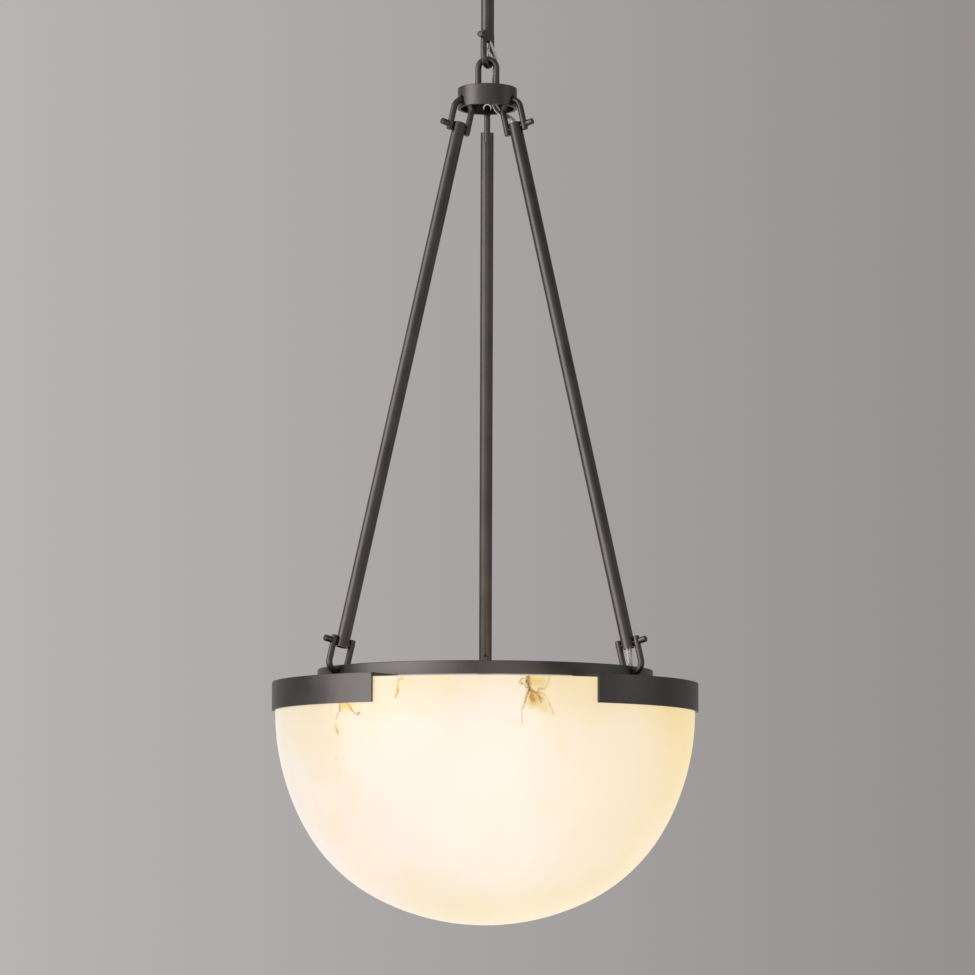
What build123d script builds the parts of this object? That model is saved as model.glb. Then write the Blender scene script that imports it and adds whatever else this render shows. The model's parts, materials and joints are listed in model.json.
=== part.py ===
"""Alabaster bowl pendant: a stone bowl hung on three rods from a hub, a stem and a ceiling canopy.

Millimetres, +Z up. The origin is the centre of the ceiling plane, and the whole pendant hangs below it.
"""

from build123d import *
from math import asin, cos, pi, radians, sin, sqrt, tan
import os

os.makedirs("parts", exist_ok=True)

# ---------------------------------------------------------------- driving dimensions

# clearances
seat_gap = 0.3  # between two bodies that bear on each other
pin_play = 0.05  # radial, a pin in its tube
thread_play = 0.03  # radial, a screwed or pressed joint
stone_gap = 0.3  # brackets to the stone's side

# ceiling fittings
strap_length = 112.0
strap_width = 25.0
strap_thickness = 2.5
strap_corner_radius = 3.0
strap_wire_hole = 8.4
slot_spacing = 88.9
slot_width = 5.0
slot_length = 11.0
canopy_diameter = 127.0
canopy_depth = 26.0
canopy_wall = 2.0
canopy_edge_radius = 4.0
stud_diameter = 4.2
stud_spacing = 66.0
stud_below_ceiling = 0.2
cap_nut_diameter = 11.0
cap_nut_height = 8.0
cap_nut_floor = 2.0
cap_nut_edge_radius = 2.5
cap_nut_play = 0.3
spreader_length = 84.0
spreader_width = 30.0
spreader_thickness = 4.0
spreader_corner_radius = 4.0
ground_screw_offset = 20.0
ground_screw_head_height = 3.0
ground_screw_head_width = 7.3
connector_length = 20.0
connector_mouth_diameter = 10.5
connector_tip_diameter = 7.0
connector_spacing = 14.0
connector_mouth_y = 34.0

# wire loops and shackles
wire_diameter = 6.0
loop_leg_spacing = 17.4
loop_height = 32.0
loop_nut_width = 9.0
loop_nut_height = 4.0
loop_thread_overrun = 1.2
shackle_leg_spacing = 19.4
shackle_throat = 18.1  # centre of the bow to the pin
shackle_leg_overrun = 5.3  # pin to the leg's end
shackle_turn = 68.0  # the stem's shackles, from +X
tip_chamfer = 0.5
pin_diameter = 3.2
pin_head_diameter = 6.0
pin_head_length = 7.0

# tubes
tube_diameter = 12.7
tube_wall = 1.0
tube_end_to_pin = 4.0
stem_length = 152.4
rod_length = 525.7

# hub
hub_diameter = 57.5
hub_height = 20.0
hub_top_thickness = 4.0
hub_wall = 3.0
hub_hole_diameter = 8.2
hub_hole_above_rim = 2.8
hub_edge_radius = 0.8

# hoop
hoop_diameter = 320.0
hoop_thickness = 3.0
hoop_height = 12.2
hoop_hole_diameter = 8.0
hoop_hole_below_top = 3.0
hoop_edge_chamfer = 0.4

# brackets
band_diameter = 406.4
band_thickness = 3.0
band_height = 27.0
flange_thickness = 3.0
bracket_span = 58.5
band_edge_radius = 0.5
stone_stud_diameter = 5.0
stone_stud_angle = 19.0
stone_stud_drop = 13.0
stone_hole_diameter = 8.0
stone_washer_diameter = 15.0
stone_washer_thickness = 2.5
stone_nut_width = 8.0
stone_nut_height = 4.0
stone_stud_overrun = 1.5
rim_pad_thickness = 0.5
rim_pad_inset = 1.5
rim_pad_span = 56.5

# bowl
bowl_wall = 11.0
bowl_straight = 23.0
shoulder_radius = 228.0
shoulder_angle = 28.5
cheek_radius = 169.0
cheek_angle = 35.1
bowl_rim_chamfer = 1.0

# lamp cluster
arm_width = 14.0
arm_thickness = 3.0
arm_azimuths = (30, 150, 270)
spider_hub_diameter = 40.0
cluster_turn = 12.0
cluster_slope = 35.0
cluster_side = 108.0
cluster_height = 24.0
cluster_corner_radius = 9.0
cluster_boss_diameter = 10.0
cluster_boss_overrun = 7.0
cluster_gap = 9.5
cluster_floor = 3.0
cluster_screw_length = 12.0
lead_entry_radius = 17.0
lead_entry_diameter = 7.2
lead_entry_depth = 6.0
cluster_screw_diameter = 3.0
locknut_width = 14.0
locknut_height = 3.5
cluster_cap_diameter = 26.0
cluster_cap_height = 5.0
cluster_cap_edge_radius = 4.0
holder_diameter = 34.0
holder_length = 42.0
holder_floor = 9.0
holder_foot_taper = (2.0, 4.0)
holder_lip_taper = (1.0, 3.0)
bulb_base_diameter = 26.2
bulb_base_length = 24.0
bulb_play = 0.35
bulb_tip_diameter = 7.0
bulb_tip_length = 5.0
bulb_thread_depth = 0.9
bulb_thread_turns = 5
bulb_collar = 4.0
bulb_diameter = 47.6
bulb_length = 89.0
bulb_glass_wall = 1.0
bulb_neck_diameter = 22.0
bulb_neck_length = 9.0

# lead
conductor_diameter = 2.6
conductor_offset = 3.4  # each conductor from the tube's axis, past the pin
conductor_pitch = 2.8  # the two side by side
lead_place = (5.5, 9.0)  # where it passes the hub and the canopy
bushing_bore = 6.6
bushing_wall = 1.2
bushing_flange_diameter = 12.0
bushing_flange_thickness = 1.2
lead_inset = 6.0  # the end of a stretch inside its tube
rod_mouth_run = (1.3, 1.2)  # straight before the rod's two ends
plate_run = 5.0  # straight below the hub's plate
connector_run = 5.0  # straight before a wire connector
entry_run = 2.0  # straight above the cluster's entry
canopy_bends = (11.5, 13.0, 10.0)  # up, over towards the connectors, and the height there
plate_approach = 2.0  # straight before a bushing
plate_exit = 1.0  # straight past a plate

# ---------------------------------------------------------------- places worked out from them

wire_radius = wire_diameter / 2
tube_bore = tube_diameter - 2 * tube_wall
shackle_half = shackle_leg_spacing / 2
bow_inner_radius = shackle_half - wire_radius
loop_half = loop_leg_spacing / 2
band_radius = band_diameter / 2
hoop_radius = hoop_diameter / 2
hub_radius = hub_diameter / 2
canopy_radius = canopy_diameter / 2

# down the axis, from the ceiling
canopy_floor_z = -canopy_depth
canopy_loop_wire_z = canopy_floor_z - loop_height + wire_radius
top_bow_z = canopy_loop_wire_z + wire_radius + seat_gap - bow_inner_radius
top_pin_z = top_bow_z - shackle_throat
stem_top_z = top_pin_z + tube_end_to_pin
stem_foot_z = stem_top_z - stem_length
foot_pin_z = stem_foot_z + tube_end_to_pin
foot_bow_z = foot_pin_z - shackle_throat
hub_loop_wire_z = foot_bow_z - bow_inner_radius + seat_gap + wire_radius
hub_top_z = hub_loop_wire_z + wire_radius - loop_height
hub_rim_z = hub_top_z - hub_height
hub_hole_z = hub_rim_z + hub_hole_above_rim + hub_hole_diameter / 2

# each rod hangs on a line from the centre of its upper bow to the centre of its lower bow
bow_reach = bow_inner_radius - seat_gap
hub_bow_drop = sqrt(bow_reach**2 - (hub_wall / 2) ** 2)
hoop_bow_rise = sqrt(bow_reach**2 - (hoop_thickness / 2) ** 2)
upper_bow_radius = hub_radius - hub_wall / 2
upper_bow_z = hub_rim_z + hub_hole_above_rim - hub_bow_drop
lower_bow_radius = hoop_radius - hoop_thickness / 2
pin_spacing = rod_length - 2 * tube_end_to_pin
bow_spacing = pin_spacing + 2 * shackle_throat
rod_lean = asin((lower_bow_radius - upper_bow_radius) / bow_spacing)
lower_bow_z = upper_bow_z - bow_spacing * cos(rod_lean)

# the bowl's rim plane, from the hoop
hoop_top_z = lower_bow_z - hoop_bow_rise + hoop_hole_below_top
hoop_hole_z = hoop_top_z - hoop_hole_below_top - hoop_hole_diameter / 2
hoop_foot_z = hoop_top_z - hoop_height
flange_foot_z = hoop_foot_z - flange_thickness
rim_z = flange_foot_z - rim_pad_thickness
bowl_radius = band_radius - band_thickness - stone_gap
bowl_bore_radius = bowl_radius - bowl_wall
stone_stud_z = rim_z - stone_stud_drop

# lamps
arm_foot_z = hoop_foot_z
cluster_top_z = arm_foot_z - cluster_gap
cluster_middle_z = cluster_top_z - cluster_height / 2
cluster_apothem = cluster_side / (2 * tan(radians(60)))
cluster_face_radius = cluster_apothem - cluster_height / 2 * tan(radians(cluster_slope))

rods = {"right": 330.0, "back": 90.0, "left": 210.0}
bulbs = {"front": 270.0 + cluster_turn, "right": 30.0 + cluster_turn, "left": 150.0 + cluster_turn}


# ---------------------------------------------------------------- helpers


def radial(azimuth, radius=0.0, across=0.0, z=0.0):
    """The point at an azimuth in degrees, a radius, a step sideways (counter-clockwise) and a height."""
    a = radians(azimuth)
    return Vector(radius * cos(a) - across * sin(a), radius * sin(a) + across * cos(a), z)


def upright_plane(azimuth, z=0.0):
    """The upright plane through the axis at an azimuth: x outward, y up."""
    return Plane(origin=(0, 0, z), x_dir=radial(azimuth, 1), z_dir=radial(azimuth - 90, 1))


def rod_down(azimuth):
    """The direction down a rod."""
    return radial(azimuth, sin(rod_lean), 0, -cos(rod_lean))


def pin_out(azimuth):
    """The direction of a rod's pins, outward and square to the rod."""
    return radial(azimuth, cos(rod_lean), 0, sin(rod_lean))


def tube_run(points, diameter):
    """A conductor along straight runs with arcs as large as the runs allow."""
    points = [Vector(p) for p in points]
    radii = []
    for before, corner, after in zip(points, points[1:], points[2:]):
        turn = radians((corner - before).get_angle(after - corner))
        run = min((corner - before).length, (after - corner).length)
        radii.append(0.45 * run / tan(turn / 2))
    with BuildPart() as run_part:
        with BuildLine() as route:
            if radii:
                FilletPolyline(*points, radius=radii)
            else:
                Line(points[0], points[1])
        with BuildSketch(Plane(origin=route.line @ 0, z_dir=route.line % 0)):
            Circle(diameter / 2)
        sweep()
    length = sum(edge.length for edge in route.line.edges())
    share = run_part.part.volume / (pi * diameter**2 / 4 * length)
    least = min(radii) if radii else 0.0
    print(f"conductor {length:.1f} mm, smallest arc {least:.1f} mm, volume share {share:.4f}")
    return run_part.part


def lead(label, *routes):
    """One stretch of the lead: a conductor along each route."""
    print(label)
    conductors = [tube_run(route, conductor_diameter) for route in routes]
    with BuildPart() as stretch:
        for conductor in conductors:
            add(conductor)
    stretch.part.label = label
    export_step(stretch.part, f"parts/{label}.step")


def wire_u(bow_centre, across, legs, half, leg_length):
    """A U of round wire: its bow's centre, the directions across it and along its legs."""
    plane = Plane(origin=bow_centre, x_dir=across, z_dir=across.cross(legs))
    with BuildPart() as u:
        with BuildLine(plane) as path:
            Line((-half, leg_length), (-half, 0))
            ThreePointArc((-half, 0), (0, -half), (half, 0))
            Line((half, 0), (half, leg_length))
        with BuildSketch(Plane(origin=path.line @ 0, z_dir=path.line % 0)):
            Circle(wire_radius)
        sweep()
        ends = u.faces().filter_by(GeomType.PLANE)
        chamfer(ends.edges(), tip_chamfer)
    return u.part


def shackle(label, bow_centre, pin_direction, legs):
    """A shackle and its pin, whose head stands out on the pin direction's side."""
    pin_centre = bow_centre + legs * shackle_throat
    bar = wire_u(bow_centre, pin_direction, legs, shackle_half, shackle_throat + shackle_leg_overrun)
    reach = shackle_half + wire_radius
    with BuildPart() as body:
        add(bar)
        with BuildSketch(Plane(origin=pin_centre, z_dir=pin_direction)):
            Circle(pin_diameter / 2 + thread_play)
        extrude(amount=2 * reach, both=True, mode=Mode.SUBTRACT)
    body.part.label = label
    export_step(body.part, f"parts/{label}.step")
    with BuildPart() as pin:
        with BuildSketch(Plane(origin=pin_centre - pin_direction * reach, z_dir=pin_direction)):
            Circle(pin_diameter / 2)
        extrude(amount=2 * reach)
        with BuildSketch(Plane(origin=pin_centre + pin_direction * reach, z_dir=pin_direction)):
            Circle(pin_head_diameter / 2)
        extrude(amount=pin_head_length)
        chamfer(pin.edges().sort_by(Axis(pin_centre, pin_direction))[-1], tip_chamfer)
    return pin.part


def tube(label, top, direction, length, pins):
    """A tube from its top end, with a cross hole for the pin near each end."""
    with BuildPart() as body:
        with BuildSketch(Plane(origin=top, z_dir=direction)):
            Circle(tube_diameter / 2)
            Circle(tube_bore / 2, mode=Mode.SUBTRACT)
        extrude(amount=length)
        for along in (tube_end_to_pin, length - tube_end_to_pin):
            with BuildSketch(Plane(origin=top + direction * along, z_dir=pins)):
                Circle(pin_diameter / 2 + pin_play)
            extrude(amount=tube_diameter, both=True, mode=Mode.SUBTRACT)
    body.part.label = label
    export_step(body.part, f"parts/{label}.step")


def hex_nuts(label, planes, width, height, bore):
    """Like nuts, one on each plane, standing along its normal."""
    with BuildPart() as nuts:
        for plane in planes:
            with BuildSketch(plane):
                RegularPolygon(radius=width / 2, side_count=6, major_radius=False)
                Circle(bore / 2, mode=Mode.SUBTRACT)
            extrude(amount=height)
    nuts.part.label = label
    export_step(nuts.part, f"parts/{label}.step")


def bushing(label, floor_z, thickness, inward):
    """The lead's bushing in a plate: a sleeve with a flange on its outer side."""
    x, y = lead_place
    sleeve_radius = bushing_bore / 2 + bushing_wall
    with BuildPart() as sleeve:
        with BuildSketch(Plane.XY.offset(floor_z)):
            with Locations((x, y)):
                Circle(sleeve_radius)
                Circle(bushing_bore / 2, mode=Mode.SUBTRACT)
        extrude(amount=inward * thickness)
        with BuildSketch(Plane.XY.offset(floor_z)):
            with Locations((x, y)):
                Circle(bushing_flange_diameter / 2)
                Circle(bushing_bore / 2, mode=Mode.SUBTRACT)
        extrude(amount=-inward * bushing_flange_thickness)
    sleeve.part.label = label
    export_step(sleeve.part, f"parts/{label}.step")


# ---------------------------------------------------------------- ceiling fittings

lead_x, lead_y = lead_place
bushing_hole_radius = bushing_bore / 2 + bushing_wall + thread_play
inner_floor_z = canopy_floor_z + canopy_wall
spreader_top_z = inner_floor_z + spreader_thickness

with BuildPart() as mounting_strap:
    with BuildSketch(Plane.XY.offset(-strap_thickness)):
        RectangleRounded(strap_length, strap_width, strap_corner_radius)
        with Locations((-slot_spacing / 2, 0), (slot_spacing / 2, 0)):
            SlotOverall(slot_length, slot_width, mode=Mode.SUBTRACT)
        with Locations((-stud_spacing / 2, 0), (stud_spacing / 2, 0), (ground_screw_offset, 0)):
            Circle(stud_diameter / 2 + thread_play, mode=Mode.SUBTRACT)
        Circle(strap_wire_hole / 2, mode=Mode.SUBTRACT)
    extrude(amount=strap_thickness)
mounting_strap.part.label = "mounting_strap"
export_step(mounting_strap.part, "parts/mounting_strap.step")

with BuildPart() as ground_screw:
    with BuildSketch(Plane.XY.offset(-strap_thickness)):
        with Locations((ground_screw_offset, 0)):
            RegularPolygon(radius=ground_screw_head_width / 2, side_count=6, major_radius=False)
    extrude(amount=-ground_screw_head_height)
    with BuildSketch(Plane.XY.offset(-strap_thickness)):
        with Locations((ground_screw_offset, 0)):
            Circle(stud_diameter / 2)
    extrude(amount=strap_thickness - stud_below_ceiling)
ground_screw.part.label = "ground_screw"
export_step(ground_screw.part, "parts/ground_screw.step")

with BuildPart() as canopy:
    with BuildSketch(Plane.XY.offset(canopy_floor_z)):
        Circle(canopy_radius)
    extrude(amount=canopy_depth)
    fillet(canopy.edges().group_by(Axis.Z)[0], canopy_edge_radius)
    with BuildSketch(Plane.XY.offset(inner_floor_z)):
        Circle(canopy_radius - canopy_wall)
    extrude(amount=canopy_depth, mode=Mode.SUBTRACT)
    with BuildSketch(Plane.XY.offset(canopy_floor_z)):
        with Locations((-loop_half, 0), (loop_half, 0)):
            Circle(wire_radius + thread_play)
        with Locations((-stud_spacing / 2, 0), (stud_spacing / 2, 0)):
            Circle(stud_diameter / 2 + 2 * thread_play)
        with Locations((lead_x, lead_y)):
            Circle(bushing_hole_radius)
    extrude(amount=canopy_wall, mode=Mode.SUBTRACT)
canopy.part.label = "canopy"
export_step(canopy.part, "parts/canopy.step")

with BuildPart() as spreader_plate:
    with BuildSketch(Plane.XY.offset(inner_floor_z)):
        RectangleRounded(spreader_length, spreader_width, spreader_corner_radius)
        with Locations((-loop_half, 0), (loop_half, 0)):
            Circle(wire_radius + thread_play, mode=Mode.SUBTRACT)
        with Locations((-stud_spacing / 2, 0), (stud_spacing / 2, 0)):
            Circle(stud_diameter / 2 + thread_play, mode=Mode.SUBTRACT)
        with Locations((lead_x, lead_y)):
            Circle(bushing_hole_radius, mode=Mode.SUBTRACT)
    extrude(amount=spreader_thickness)
spreader_plate.part.label = "spreader_plate"
export_step(spreader_plate.part, "parts/spreader_plate.step")

canopy_loop_centre = Vector(0, 0, canopy_loop_wire_z + loop_half)
canopy_loop_legs = spreader_top_z + loop_nut_height + loop_thread_overrun - canopy_loop_centre.Z
canopy_loop = wire_u(canopy_loop_centre, Vector(1, 0, 0), Vector(0, 0, 1), loop_half, canopy_loop_legs)
canopy_loop.label = "canopy_loop"
export_step(canopy_loop, "parts/canopy_loop.step")

hex_nuts(
    "canopy_loop_nuts",
    [Plane(origin=(side * loop_half, 0, spreader_top_z)) for side in (-1, 1)],
    loop_nut_width,
    loop_nut_height,
    wire_diameter + 2 * thread_play,
)

stud_floor_z = canopy_floor_z - cap_nut_height + cap_nut_floor
with BuildPart() as canopy_studs:
    with BuildSketch(Plane.XY.offset(stud_floor_z)):
        with Locations((-stud_spacing / 2, 0), (stud_spacing / 2, 0)):
            Circle(stud_diameter / 2)
    extrude(amount=-stud_floor_z - stud_below_ceiling)
canopy_studs.part.label = "canopy_studs"
export_step(canopy_studs.part, "parts/canopy_studs.step")

with BuildPart() as canopy_cap_nuts:
    with BuildSketch(Plane.XY.offset(canopy_floor_z)):
        with Locations((-stud_spacing / 2, 0), (stud_spacing / 2, 0)):
            Circle(cap_nut_diameter / 2)
    extrude(amount=-cap_nut_height)
    fillet(canopy_cap_nuts.edges().group_by(Axis.Z)[0], cap_nut_edge_radius)
    with BuildSketch(Plane.XY.offset(canopy_floor_z)):
        with Locations((-stud_spacing / 2, 0), (stud_spacing / 2, 0)):
            Circle(stud_diameter / 2 + thread_play)
    extrude(amount=stud_floor_z - canopy_floor_z - cap_nut_play, mode=Mode.SUBTRACT)
canopy_cap_nuts.part.label = "canopy_cap_nuts"
export_step(canopy_cap_nuts.part, "parts/canopy_cap_nuts.step")

bushing("canopy_bushing", canopy_floor_z, canopy_wall + spreader_thickness, 1)

connector_z = inner_floor_z + connector_mouth_diameter / 2
with BuildPart() as wire_connectors:
    for connector_x in (0.0, connector_spacing):
        mouth = Plane(origin=(connector_x, connector_mouth_y, connector_z), z_dir=(0, 1, 0))
        with BuildSketch(mouth):
            Circle(connector_mouth_diameter / 2)
        with BuildSketch(mouth.offset(connector_length)):
            Circle(connector_tip_diameter / 2)
        loft()
        with BuildSketch(mouth):
            Circle(conductor_diameter / 2 + thread_play)
        extrude(amount=lead_inset, mode=Mode.SUBTRACT)
wire_connectors.part.label = "wire_connectors"
export_step(wire_connectors.part, "parts/wire_connectors.step")

# ---------------------------------------------------------------- stem and its shackles

down = Vector(0, 0, -1)
up = Vector(0, 0, 1)
stem_pin_out = radial(shackle_turn + 180, 1)
stem_pins = {
    "top_shackle": shackle("top_shackle", Vector(0, 0, top_bow_z), stem_pin_out, down),
    "bottom_shackle": shackle("bottom_shackle", Vector(0, 0, foot_bow_z), stem_pin_out, up),
}
for owner, pin in stem_pins.items():
    pin.label = f"{owner}_pin"
    export_step(pin, f"parts/{owner}_pin.step")
tube("stem", Vector(0, 0, stem_top_z), down, stem_length, stem_pin_out)

# ---------------------------------------------------------------- hub

hub_ceiling_z = hub_top_z - hub_top_thickness
with BuildPart() as hub_cup:
    with BuildSketch(Plane.XY.offset(hub_rim_z)):
        Circle(hub_radius)
    extrude(amount=hub_height)
    fillet(hub_cup.edges().group_by(Axis.Z)[-1], hub_edge_radius)
    with BuildSketch(Plane.XY.offset(hub_rim_z)):
        Circle(hub_radius - hub_wall)
    extrude(amount=hub_height - hub_top_thickness, mode=Mode.SUBTRACT)
    with BuildSketch(Plane.XY.offset(hub_ceiling_z)):
        with Locations((-loop_half, 0), (loop_half, 0)):
            Circle(wire_radius + thread_play)
        with Locations((lead_x, lead_y)):
            Circle(bushing_hole_radius)
    extrude(amount=hub_top_thickness, mode=Mode.SUBTRACT)
    for azimuth in rods.values():
        with BuildSketch(Plane(origin=radial(azimuth, hub_radius / 2, 0, hub_hole_z), z_dir=radial(azimuth, 1))):
            Circle(hub_hole_diameter / 2)
        extrude(amount=hub_radius, mode=Mode.SUBTRACT)
hub_cup.part.label = "hub_cup"
export_step(hub_cup.part, "parts/hub_cup.step")

hub_loop_centre = Vector(0, 0, hub_loop_wire_z - loop_half)
hub_loop_legs = hub_loop_centre.Z - (hub_ceiling_z - loop_nut_height - loop_thread_overrun)
hub_loop = wire_u(hub_loop_centre, Vector(1, 0, 0), down, loop_half, hub_loop_legs)
hub_loop.label = "hub_loop"
export_step(hub_loop, "parts/hub_loop.step")

hex_nuts(
    "hub_loop_nuts",
    [Plane(origin=(side * loop_half, 0, hub_ceiling_z), z_dir=(0, 0, -1)) for side in (-1, 1)],
    loop_nut_width,
    loop_nut_height,
    wire_diameter + 2 * thread_play,
)
bushing("hub_bushing", hub_top_z, hub_top_thickness, -1)

# ---------------------------------------------------------------- rods and their shackles

upper_pin_list = []
for side, azimuth in rods.items():
    upper_bow = radial(azimuth, upper_bow_radius, 0, upper_bow_z)
    upper_pin_list.append(shackle(f"upper_shackle_{side}", upper_bow, pin_out(azimuth), rod_down(azimuth)))
with BuildPart() as upper_pins:
    for pin in upper_pin_list:
        add(pin)
upper_pins.part.label = "upper_pins"
export_step(upper_pins.part, "parts/upper_pins.step")

for side, azimuth in rods.items():
    along = rod_down(azimuth)
    rod_top = radial(azimuth, upper_bow_radius, 0, upper_bow_z) + along * (shackle_throat - tube_end_to_pin)
    tube(f"rod_{side}", rod_top, along, rod_length, pin_out(azimuth))
    lower_bow = radial(azimuth, lower_bow_radius, 0, lower_bow_z)
    lower_pin = shackle(f"lower_shackle_{side}", lower_bow, pin_out(azimuth), along * -1)
    lower_pin.label = f"lower_pin_{side}"
    export_step(lower_pin, f"parts/lower_pin_{side}.step")

# ---------------------------------------------------------------- hoop and brackets

with BuildPart() as ring_hoop:
    with BuildSketch(Plane.XY.offset(hoop_foot_z)):
        Circle(hoop_radius)
        Circle(hoop_radius - hoop_thickness, mode=Mode.SUBTRACT)
    extrude(amount=hoop_height)
    for azimuth in rods.values():
        hole_centre = radial(azimuth, hoop_radius - 2 * hoop_thickness, 0, hoop_hole_z)
        with BuildSketch(Plane(origin=hole_centre, z_dir=radial(azimuth, 1))):
            Circle(hoop_hole_diameter / 2)
        extrude(amount=4 * hoop_thickness, mode=Mode.SUBTRACT)
    chamfer(ring_hoop.edges().group_by(Axis.Z)[-1], hoop_edge_chamfer)
ring_hoop.part.label = "ring_hoop"
export_step(ring_hoop.part, "parts/ring_hoop.step")

band_inner_radius = band_radius - band_thickness
washer_outer_radius = sqrt(bowl_bore_radius**2 - (stone_washer_diameter / 2) ** 2)
stud_end_radius = washer_outer_radius - stone_washer_thickness - stone_nut_height - stone_stud_overrun
for side, azimuth in rods.items():
    start = upright_plane(azimuth - bracket_span / 2)
    with BuildPart() as bracket:
        with BuildSketch(start):
            with BuildLine():
                Polyline(
                    (hoop_radius - hoop_thickness, flange_foot_z),
                    (band_inner_radius, flange_foot_z),
                    (band_inner_radius, hoop_foot_z - band_height),
                    (band_radius, hoop_foot_z - band_height),
                    (band_radius, hoop_foot_z),
                    (hoop_radius - hoop_thickness, hoop_foot_z),
                    close=True,
                )
            make_face()
        revolve(axis=Axis.Z, revolution_arc=bracket_span)
        top_arcs = bracket.edges().filter_by(GeomType.CIRCLE).group_by(Axis.Z)[-1]
        fillet(top_arcs.sort_by(SortBy.RADIUS)[-1], band_edge_radius)
        for turn in (-stone_stud_angle, stone_stud_angle):
            stud_foot = radial(azimuth + turn, stud_end_radius, 0, stone_stud_z)
            with BuildSketch(Plane(origin=stud_foot, z_dir=radial(azimuth + turn, 1))):
                Circle(stone_stud_diameter / 2)
            extrude(amount=band_inner_radius + band_thickness / 2 - stud_end_radius)
    bracket.part.label = f"bracket_{side}"
    export_step(bracket.part, f"parts/bracket_{side}.step")

stud_azimuths = [azimuth + turn for azimuth in rods.values() for turn in (-stone_stud_angle, stone_stud_angle)]
with BuildPart() as stone_washers:
    for azimuth in stud_azimuths:
        with BuildSketch(
            Plane(origin=radial(azimuth, washer_outer_radius, 0, stone_stud_z), z_dir=radial(azimuth, -1))
        ):
            Circle(stone_washer_diameter / 2)
            Circle(stone_stud_diameter / 2 + thread_play, mode=Mode.SUBTRACT)
        extrude(amount=stone_washer_thickness)
stone_washers.part.label = "stone_washers"
export_step(stone_washers.part, "parts/stone_washers.step")

nut_radius = washer_outer_radius - stone_washer_thickness
hex_nuts(
    "stone_nuts",
    [Plane(origin=radial(a, nut_radius, 0, stone_stud_z), z_dir=radial(a, -1)) for a in stud_azimuths],
    stone_nut_width,
    stone_nut_height,
    stone_stud_diameter + 2 * thread_play,
)

with BuildPart() as rim_pads:
    for azimuth in rods.values():
        with BuildSketch(upright_plane(azimuth - rim_pad_span / 2)):
            with BuildLine():
                Polyline(
                    (bowl_bore_radius + rim_pad_inset, rim_z),
                    (bowl_radius - rim_pad_inset, rim_z),
                    (bowl_radius - rim_pad_inset, flange_foot_z),
                    (bowl_bore_radius + rim_pad_inset, flange_foot_z),
                    close=True,
                )
            make_face()
        revolve(axis=Axis.Z, revolution_arc=rim_pad_span)
rim_pads.part.label = "rim_pads"
export_step(rim_pads.part, "parts/rim_pads.step")

# ---------------------------------------------------------------- bowl


def bowl_side(inset):
    """The bowl's half outline from the rim to the axis, moved in by inset: shoulder, cheek and base arcs."""
    turn = shoulder_angle + cheek_angle
    wall = Line((bowl_radius - inset, rim_z), (bowl_radius - inset, rim_z - bowl_straight))
    shoulder = JernArc(wall @ 1, wall % 1, shoulder_radius - inset, -shoulder_angle)
    cheek = JernArc(shoulder @ 1, shoulder % 1, cheek_radius - inset, -cheek_angle)
    base_radius = (cheek @ 1).X / cos(radians(turn))
    base = JernArc(cheek @ 1, cheek % 1, base_radius, -(90 - turn))
    return wall, base


with BuildPart() as alabaster_bowl:
    with BuildSketch(Plane.XZ):
        with BuildLine():
            outer_wall, outer_base = bowl_side(0)
            inner_wall, inner_base = bowl_side(bowl_wall)
            Line(outer_wall @ 0, inner_wall @ 0)
            Line(outer_base @ 1, inner_base @ 1)
        make_face()
    revolve(axis=Axis.Z)
    chamfer(alabaster_bowl.edges().group_by(Axis.Z)[-1], bowl_rim_chamfer)
    for azimuth in stud_azimuths:
        with BuildSketch(
            Plane(origin=radial(azimuth, bowl_bore_radius - bowl_wall, 0, stone_stud_z), z_dir=radial(azimuth, 1))
        ):
            Circle(stone_hole_diameter / 2)
        extrude(amount=3 * bowl_wall, mode=Mode.SUBTRACT)
alabaster_bowl.part.label = "alabaster_bowl"
export_step(alabaster_bowl.part, "parts/alabaster_bowl.step")

# ---------------------------------------------------------------- lamp cluster

arm_reach = hoop_radius - hoop_thickness
with BuildPart() as lamp_spider:
    with BuildSketch(Plane.XY.offset(arm_foot_z)):
        with Locations(*[Location((0, 0, 0), (0, 0, azimuth)) for azimuth in arm_azimuths]):
            Rectangle(hoop_radius, arm_width, align=(Align.MIN, Align.CENTER))
        Circle(spider_hub_diameter / 2)
        Circle(cluster_boss_diameter / 2 + thread_play, mode=Mode.SUBTRACT)
    extrude(amount=arm_thickness)
    with BuildSketch(Plane.XY.offset(arm_foot_z)):
        Circle(arm_reach)
    extrude(amount=arm_thickness, mode=Mode.INTERSECT)
lamp_spider.part.label = "lamp_spider"
export_step(lamp_spider.part, "parts/lamp_spider.step")

with BuildPart() as cluster_body:
    with BuildSketch(Plane.XY.offset(cluster_top_z)) as cluster_outline:
        RegularPolygon(radius=cluster_apothem, side_count=3, major_radius=False, rotation=bulbs["front"] - 60)
        fillet(cluster_outline.vertices(), cluster_corner_radius)
    extrude(amount=-cluster_height, taper=cluster_slope)
    with BuildSketch(Plane.XY.offset(cluster_top_z)):
        Circle(cluster_boss_diameter / 2)
    extrude(amount=cluster_gap + arm_thickness + cluster_boss_overrun)
    with BuildSketch(Plane.XY.offset(cluster_top_z - cluster_height)):
        Circle(cluster_screw_diameter / 2 + thread_play)
    extrude(amount=cluster_height - cluster_floor, mode=Mode.SUBTRACT)
    with BuildSketch(Plane.XY.offset(cluster_top_z)):
        with Locations(radial(rods["right"], lead_entry_radius)):
            Circle(lead_entry_diameter / 2)
    extrude(amount=-lead_entry_depth, mode=Mode.SUBTRACT)
cluster_body.part.label = "cluster_body"
export_step(cluster_body.part, "parts/cluster_body.step")

hex_nuts(
    "cluster_locknut",
    [Plane(origin=(0, 0, arm_foot_z + arm_thickness))],
    locknut_width,
    locknut_height,
    cluster_boss_diameter + 2 * thread_play,
)

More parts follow.
